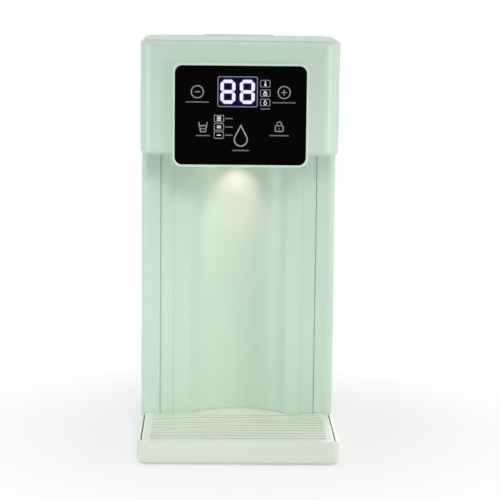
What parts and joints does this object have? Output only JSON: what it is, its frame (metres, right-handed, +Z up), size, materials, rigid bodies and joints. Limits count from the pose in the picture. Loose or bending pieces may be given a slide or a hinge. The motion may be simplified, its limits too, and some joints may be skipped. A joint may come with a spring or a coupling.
{
  "type": "instant hot water dispenser",
  "caption": "Countertop instant hot water dispenser: overhanging head with a black touch panel, concave cup bay, drip tray and a lift-out rear water tank.",
  "frame": {"origin": "on the table, under the middle of the bounding box", "axes": "+Z up, +X to the right of someone facing the dispenser, +Y towards the rear"},
  "size_m": [0.19, 0.261, 0.3943],
  "materials": {
    "shell_green": "fine satin moulded texture",
    "tray_green": "fine satin moulded texture, paler than the shell",
    "bezel_green": "smooth satin gloss",
    "panel_black": "polished black",
    "inner_grey": "plain moulded",
    "dark_rubber": "matte",
    "silicone": "translucent matte",
    "steel": "bright plated",
    "board_green": "solder mask",
    "component_black": "moulded",
    "bare_aluminium": "as extruded",
    "display_window": "milky",
    "lamp_lens": "milky",
    "tank_clear": "clear with a light grey tint",
    "float_white": "plain moulded",
    "cable_grey": "flat ribbon"
  },
  "bodies": {
    "dispenser": {"left_side_shell": "shell_green", "right_side_shell": "shell_green", "column_front_panel": "shell_green", "head_cover": "shell_green", "top_cover": "shell_green", "tank_shelf": "shell_green", "panel_bezel": "bezel_green", "control_glass": "panel_black", "base_plate": "inner_grey", "back_bulkhead": "inner_grey", "dock_cup": "inner_grey", "outlet_chamber": "inner_grey", "chamber_cap": "inner_grey", "pump_housing": "inner_grey", "pump_cover": "inner_grey", "nozzle_body": "inner_grey", "heater_inlet_cap": "inner_grey", "heater_outlet_cap": "inner_grey", "rubber_feet": "dark_rubber", "cord_gland": "dark_rubber", "pump_mounts": "dark_rubber", "dock_seal": "silicone", "nozzle_tip": "silicone", "hot_hose": "silicone", "suction_hose": "silicone", "delivery_hose": "silicone", "base_screws": "steel", "bulkhead_screws": "steel", "display_screws": "steel", "board_screws": "steel", "heater_tube": "steel", "heater_clamps": "steel", "pump_motor": "steel", "display_board": "board_green", "power_board": "board_green", "board_parts": "component_black", "thermal_cutouts": "component_black", "reed_sensor": "component_black", "touch_pads": "component_black", "heat_sink": "bare_aluminium", "digit_display": "display_window", "indicator_guides": "display_window", "nozzle_lamp": "lamp_lens", "display_cable": "cable_grey"},
    "drip_tray": {"drip_tray": "tray_green"},
    "drip_grille": {"drip_grille": "tray_green"},
    "water_tank": {"tank_shell": "tank_clear", "tank_collar": "shell_green", "lid_pin": "steel", "valve_body": "inner_grey", "valve_cage": "inner_grey", "valve_spring": "steel", "float_post": "inner_grey"},
    "tank_lid": {"tank_lid": "shell_green", "lid_seal": "silicone"},
    "valve_poppet": {"valve_poppet": "inner_grey", "poppet_seal": "silicone"},
    "tank_float": {"tank_float": "float_white"},
    "pump_rotor": {"pump_rotor": "inner_grey"}
  },
  "joints": [
    {"name": "tray_slide", "type": "slide", "parent": "dispenser", "child": "drip_tray", "axis": [0, -1, 0], "range_m": [0, 0.125]},
    {"name": "grille_lift", "type": "slide", "parent": "drip_tray", "child": "drip_grille", "axis": [0, 0, 1], "range_m": [0, 0.04]},
    {"name": "tank_lift", "type": "slide", "parent": "dispenser", "child": "water_tank", "axis": [0, 0, 1], "range_m": [0, 0.36]},
    {"name": "lid_hinge", "type": "hinge", "parent": "water_tank", "child": "tank_lid", "pos_m": [0, 0.1175, 0.3894], "axis": [-1, 0, 0], "range_deg": [0, 100]},
    {"name": "valve_slide", "type": "slide", "parent": "water_tank", "child": "valve_poppet", "axis": [0, 0, 1], "range_m": [-0.004, 0], "deforming": ["valve_spring"]},
    {"name": "float_slide", "type": "slide", "parent": "water_tank", "child": "tank_float", "axis": [0, 0, 1], "range_m": [0, 0.0148]},
    {"name": "pump_spin", "type": "hinge", "parent": "dispenser", "child": "pump_rotor", "pos_m": [-0.05, 0.0895, 0.022], "axis": [1, 0, 0], "continuous": true}
  ],
  "couplings": [
    {"joint": "valve_slide", "follows": "tank_lift", "ratio": -0.0111}
  ]
}
